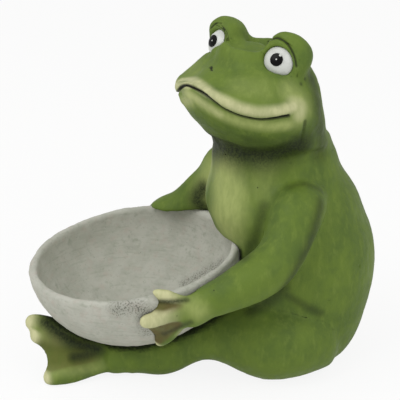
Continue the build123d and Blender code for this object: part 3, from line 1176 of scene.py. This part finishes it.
@dataclass(frozen=True)
class BrushedClay(Finish):
    """Fired clay under matte acrylic: greens dragged on with a dry brush over a dark wash.

    The eye sees soft blotches of olive, thin brush drags, cream on what stands proud and a
    brown-black wash with painted shade in every hollow and crease and under the bowl, with hardly any shine.
    """

    name: str = "matte_acrylic_on_clay"
    ground: str = "#53682A"
    patterns: tuple[Pattern, ...] = (
        Pattern("blotch", 26.0),
        Pattern("drag", (5.0, 5.0, 14.0), turn=(0.35, 0.2, 0.0)),
        Pattern("grit", 1.5, 4.0),
        # Real pits are finer and closer than these, which the render can show
        Pattern("pit", 26.0, cells=True),
    )
    coats: tuple[tuple[str, Share], ...] = (
        # Two greens, the lighter one dragged over and caught by the grit
        ("#61762C", Share("blotch", 0.32, 0.62)),
        ("#788A40", Share("drag", 0.45, 0.8, most=0.45)),
        ("#788A40", Share("grit", 0.56, 0.8, most=0.22)),
        # Pale green with painted highlights, umber and cream, broken by the brush
        ("#A6B06C", Share("drag", 0.3, 0.7, 0.82, 1.12, Paint.PALE.value)),
        ("#5F5630", Share("drag", 0.3, 0.7, 0.82, 1.12, Paint.UMBER.value)),
        ("#C6C597", Share("drag", 0.3, 0.7, 0.82, 1.12, Paint.CREAM.value)),
        # The dark wash with its painted shade, rubbed off the grit, the ink in the lines and the pits
        ("#1E2611", Share("grit", 0.3, 0.7, 0.85, 1.1, Paint.WASH.value)),
        ("#191A10", Share(mask=Paint.INK.value)),
        ("#191A10", Share("pit", 0.014, 0.03, 0.8, 0.0)),
    )
    relief: tuple[tuple[str, float], ...] = (("drag", 0.2), ("grit", 0.12))
    roughness: float | Share = Share("drag", 0.3, 0.7, 0.52, 0.7)
    gloss: float = 0.2


@dataclass(frozen=True)
class WeatheredStone(Finish):
    """Fired clay under a thin stone-coloured coat, stippled and rubbed so that it looks like cast stone.

    The eye sees a chalky grey that wanders from greenish to pinkish, darker stippling, small
    pores, painted shade by the hand and arm, a painted highlight on the rim and no shine.
    """

    name: str = "stone_coat_on_clay"
    ground: str = "#AEAFA3"
    patterns: tuple[Pattern, ...] = (
        Pattern("mottle", 17.0),
        Pattern("tint", 7.0, 4.0, move=(31.0, 7.0, 53.0)),
        Pattern("stipple", 2.2, 4.0),
        Pattern("sweep", (16.0, 16.0, 1.7)),
        # Real pores are finer and closer than these, which the render can show
        Pattern("pore", 5.5, cells=True),
        Pattern("dots", 1.2, 2.0),
    )
    coats: tuple[tuple[str, Share], ...] = (
        # Chalky lights, a rosy tint and a mossy one
        ("#B9B9AE", Share("mottle", 0.38, 0.62, most=0.9)),
        ("#B4AA9F", Share("tint", 0.5, 0.7, most=0.5)),
        ("#B9B9AE", Share("sweep", 0.5, 0.7, most=0.5)),
        ("#969A8A", Share("sweep", 0.45, 0.3, most=0.4)),
        ("#969A8A", Share("tint", 0.42, 0.26, most=0.6)),
        ("#B9B9AE", Share("stipple", 0.55, 0.75, most=0.6)),
        ("#969A8A", Share("stipple", 0.44, 0.28, most=0.5)),
        # Painted shade and dark dots where the stippling is rough by the hand and arm, a painted highlight
        # on the rim, and pores
        ("#84857B", Share(most=0.5, mask="stipple")),
        ("#55564C", Share("dots", 0.5, 0.38, mask="stipple")),
        ("#C6C6BC", Share(most=0.6, mask="rim_highlight")),
        ("#55564C", Share("pore", 0.03, 0.08, 0.6, 0.0)),
    )
    relief: tuple[tuple[str, float], ...] = (("sweep", 0.12), ("stipple", 0.3))
    roughness: float | Share = 0.85
    gloss: float = 0.3


@dataclass(frozen=True)
class EyeEnamel(Finish):
    """Enamel over clay: the eye sees a shiny, poured-looking coat whose colour drifts a little."""

    patterns: tuple[Pattern, ...] = (Pattern("drift", 9.0), Pattern("fine", 2.5))
    relief: tuple[tuple[str, float], ...] = (("fine", 0.03),)
    roughness: float | Share = 0.22
    gloss: float = 0.4


@dataclass
class Bowl:
    """The open bowl, cast with the figure and finished like stone."""

    sight: Sight
    voxel: float = 1.3
    edge_passes: int = 6
    lumps: Table = (
        ("bowl_waves", 24.0, 1.6), ("bowl_dents", 8.0, 0.7), ("bowl_grain", 2.4, 0.3),
    )
    # How far down, and how softly, the rim's painted highlight reaches from the top
    rim_depth: float = 6.5
    rim_fade: float = 3.0
    # Where the stippling is rough by the hand and under the arm, which is also where painted shade darkens
    # the stone
    rough_and_shaded_spots: tuple[Stroke, ...] = (
        Stroke(((118, 309), (134, 307), (146, 314)), 12, 0.8),
        Stroke(((146, 318), (148, 332)), 12, 0.6),
        Stroke(((184, 283), (205, 272), (222, 262)), 8, 0.7),
    )

    def build(self) -> None:
        """Copies the bowl, rounds its edges and works its surface over."""
        self.bowl = rename(copy_node("bowl"), "stone_bowl")
        remesh(self.bowl, self.voxel)
        soften(self.bowl, self.edge_passes)
        roughen(self.bowl, self.lumps)
        bpy.ops.object.shade_smooth()

    def dress(self) -> None:
        """Stores where the stippling is rough and painted shade darkens it, and the rim's painted highlight,
        and gives the stone finish.
        """
        points = places(self.bowl)
        surface = Surface(self.bowl, self.sight)
        # Rough stippling by the hand and arm, which the finish also darkens there as painted shade
        rough_and_shaded = [stroke.coat(points, surface.path(stroke.spots)) for stroke in self.rough_and_shaded_spots]
        mark(self.bowl, "stipple", np.maximum.reduce(rough_and_shaded))
        height = points[:, 2]
        # Painted highlight along the top of the rim
        mark(self.bowl, "rim_highlight", smooth_step((height - height.max() + self.rim_depth) / self.rim_fade))
        self.bowl.data.materials.append(WeatheredStone().make())
        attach(self.bowl, "root")
        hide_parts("bowl")
        report(self.bowl)


@dataclass
class Eyes:
    """The two glazed eyeballs with their painted pupils and the white dots of painted highlight on these."""

    sight: Sight
    white: Finish = EyeEnamel(
        "white_eye_enamel", "#CFD1CC", (("#B9BCB5", Share("drift", 0.4, 0.7, most=0.6)),),
    )
    black: Finish = EyeEnamel(
        "black_eye_enamel", "#080808", (("#10100E", Share("drift", 0.4, 0.7, most=0.6)),),
        roughness=0.3, gloss=0.12,
    )
    edge_angle: float = 40.0

    # Each painted highlight's name, its pupil's node, its spot of the picture and its radius in millimetres
    glints: tuple[tuple[str, str, Spot, float], ...] = (
        ("left_eye_glint", "left_pupil", (276.3, 59.3), 0.55),
        # The notch at the pupil's top right is a painted reflection
        ("left_eye_notch_glint", "left_pupil", (280.3, 55.4), 0.95),
        ("right_eye_glint", "right_pupil", (212.2, 40.6), 0.5),
    )
    glint_sides: int = 24
    glint_rise: float = 0.25
    glint_sunk: float = 0.1

    # The dome's shoulder and height, as shares of the painted highlight's radius
    shoulder_share: float = 0.35
    dome_share: float = 0.2

    def build(self) -> None:
        """Copies the eyeballs and pupils with smooth faces, and adds the white dots of painted highlight."""
        white, black = self.white.make(), self.black.make()
        for side in ("left", "right"):
            for kind, material, slot in (("eyeball", white, "eye_white"), ("pupil", black, "eye_black")):
                node = side + "_" + kind
                piece = rename(copy_node(node), node + "_enamel")
                bpy.ops.object.shade_smooth_by_angle(angle=math.radians(self.edge_angle))
                piece.data.materials.append(material)
                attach(piece, "root")
                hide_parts(node)
                report(piece)
        for name, node, spot, size in self.glints:
            self.glint(name, node, spot, size, white)

    def glint(self, name: str, node: str, spot: Spot, size: float, material: Material) -> None:
        """Puts a small domed dot of white enamel, a painted highlight, where a sight line meets a pupil.

        Args:
            name: The painted highlight's name.
            node: The pupil's node.
            spot: The spot of the picture.
            size: Its radius in millimetres.
            material: The enamel.
        """
        pupil = Surface(bpy.data.objects[node + "_enamel"], self.sight).tree
        place, normal, _, _ = pupil.ray_cast(self.sight.eye() * MM, self.sight.ray(spot))
        if place is None:
            log.warning("%s misses its pupil", name)
            return
        lay_down()
        bpy.ops.mesh.primitive_circle_add(
            vertices=self.glint_sides, radius=size * MM, fill_type="NGON",
            location=place - normal * self.glint_sunk * MM,
            rotation=normal.to_track_quat("Z", "Y").to_euler(),
        )
        piece = rename(bpy.context.object, name)
        bpy.ops.object.transform_apply(location=True, rotation=True, scale=True)
        rise = {"value": tuple(normal * (self.glint_sunk + self.glint_rise) * MM), "orient_type": "GLOBAL"}
        with editing("FACE", "SELECT"):
            bpy.ops.mesh.extrude_region_move(TRANSFORM_OT_translate=rise)
            bpy.ops.mesh.inset(thickness=size * self.shoulder_share * MM, depth=size * self.dome_share * MM)
            bpy.ops.mesh.select_all(action="SELECT")
            bpy.ops.mesh.normals_make_consistent(inside=False)
        bpy.ops.object.shade_smooth()
        piece.data.materials.append(material)
        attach(piece, "root")
        report(piece)


@dataclass(frozen=True)
class Lamp:
    """A soft square lamp, placed by degrees to the camera's right and up, and by metres from the figure."""

    name: str
    swing: float
    rise: float
    away: float
    size: float
    watts: float

    def hang(self, sight: Sight) -> None:
        """Makes the lamp and turns it to the figure.

        Args:
            sight: The camera.
        """
        out = towards(sight.azimuth + self.swing, self.rise)
        data = bpy.data.lights.new(self.name, "AREA")
        data.shape = "SQUARE"
        data.size = self.size
        data.energy = self.watts
        lamp = bpy.data.objects.new(self.name, data)
        lamp.location = Vector(sight.aim) * MM + out * self.away
        lamp.rotation_mode = "QUATERNION"
        lamp.rotation_quaternion = out.to_track_quat("Z", "Y")
        bpy.context.scene.collection.objects.link(lamp)


@dataclass(frozen=True)
class Studio:
    """A pale floor, two soft lamps and a white surround."""

    floor_size: float = 8.0
    floor_drop: float = 0.2
    paper: str = "#F2F2F0"
    white: str = "#FFFFFF"

    # The floor's own glow, the room's light and what is seen of it
    glow: float = 0.88
    room: float = 0.66
    backdrop: float = 1.0
    lamps: tuple[Lamp, ...] = (
        Lamp("key_lamp", -55.0, 50.0, 1.3, 0.9, 6.8),
        Lamp("fill_lamp", 50.0, 35.0, 1.5, 1.2, 5.0),
    )

    def build(self, sight: Sight) -> None:
        """Makes the floor, the lamps and the world, and sets the view transform.

        Args:
            sight: The camera, which the lamps stand beside.
        """
        lay_down()
        bpy.ops.mesh.primitive_plane_add(size=self.floor_size, location=(0, 0, -self.floor_drop * MM))
        floor = rename(bpy.context.object, "studio_floor")
        bpy.ops.object.transform_apply(location=True, rotation=True, scale=True)
        floor.data.materials.append(self.paper_floor())
        for lamp in self.lamps:
            lamp.hang(sight)
        bpy.context.scene.world = self.white_room()
        bpy.context.scene.view_settings.view_transform = "Standard"

    def paper_floor(self) -> Material:
        """Makes the floor's white paper, which glows where it is seen or mirrored.

        Returns:
            The material.
        """
        material = bpy.data.materials.new("white_paper_floor")
        tree = empty_tree(material)
        path = put(tree, "ShaderNodeLightPath")
        seen = put(
            tree, "ShaderNodeMath",
            {"Value": (path, "Is Camera Ray"), "Value_001": (path, "Is Glossy Ray")}, operation="MAXIMUM",
        )
        share = put(
            tree, "ShaderNodeMath", {"Value": (seen, "Value"), "Value_001": self.glow}, operation="MULTIPLY",
        )
        paper = put(tree, "ShaderNodeBsdfDiffuse", {"Color": linear(self.paper)})
        glow = put(tree, "ShaderNodeEmission", {"Color": linear(self.white), "Strength": 1.0})
        mix = put(tree, "ShaderNodeMixShader", {
            "Fac": (share, "Value"), "Shader": (paper, "BSDF"), "Shader_001": (glow, "Emission"),
        })
        put(tree, "ShaderNodeOutputMaterial", {"Surface": (mix, "Shader")})
        return material

    def white_room(self) -> bpy.types.World:
        """Makes the white surround, which is brighter to see than its light on the figure.

        Returns:
            The world.
        """
        world = bpy.data.worlds.new("white_room")
        tree = empty_tree(world)
        path = put(tree, "ShaderNodeLightPath")
        room, backdrop = [
            put(tree, "ShaderNodeBackground", {"Color": linear(self.white), "Strength": strength})
            for strength in (self.room, self.backdrop)
        ]
        mix = put(tree, "ShaderNodeMixShader", {
            "Fac": (path, "Is Camera Ray"), "Shader": (room, "Background"),
            "Shader_001": (backdrop, "Background"),
        })
        put(tree, "ShaderNodeOutputWorld", {"Surface": (mix, "Shader")})
        return world


def main() -> None:
    """Builds the pieces in order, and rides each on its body."""
    logging.basicConfig(level=logging.INFO, format="%(name)s: %(message)s")
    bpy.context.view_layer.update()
    sight = Sight()
    sight.place()
    Studio().build(sight)
    clay = Clay(sight)
    clay.build()
    clay.shape()
    clay.work_over()
    clay.paint()
    material = BrushedClay().make()
    for owner, piece in clay.part().items():
        piece.data.materials.append(material)
        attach(piece, "root")
        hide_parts(owner)
    bowl = Bowl(sight)
    bowl.build()
    bowl.dress()
    Eyes(sight).build()


if __name__ == "__main__":
    main()
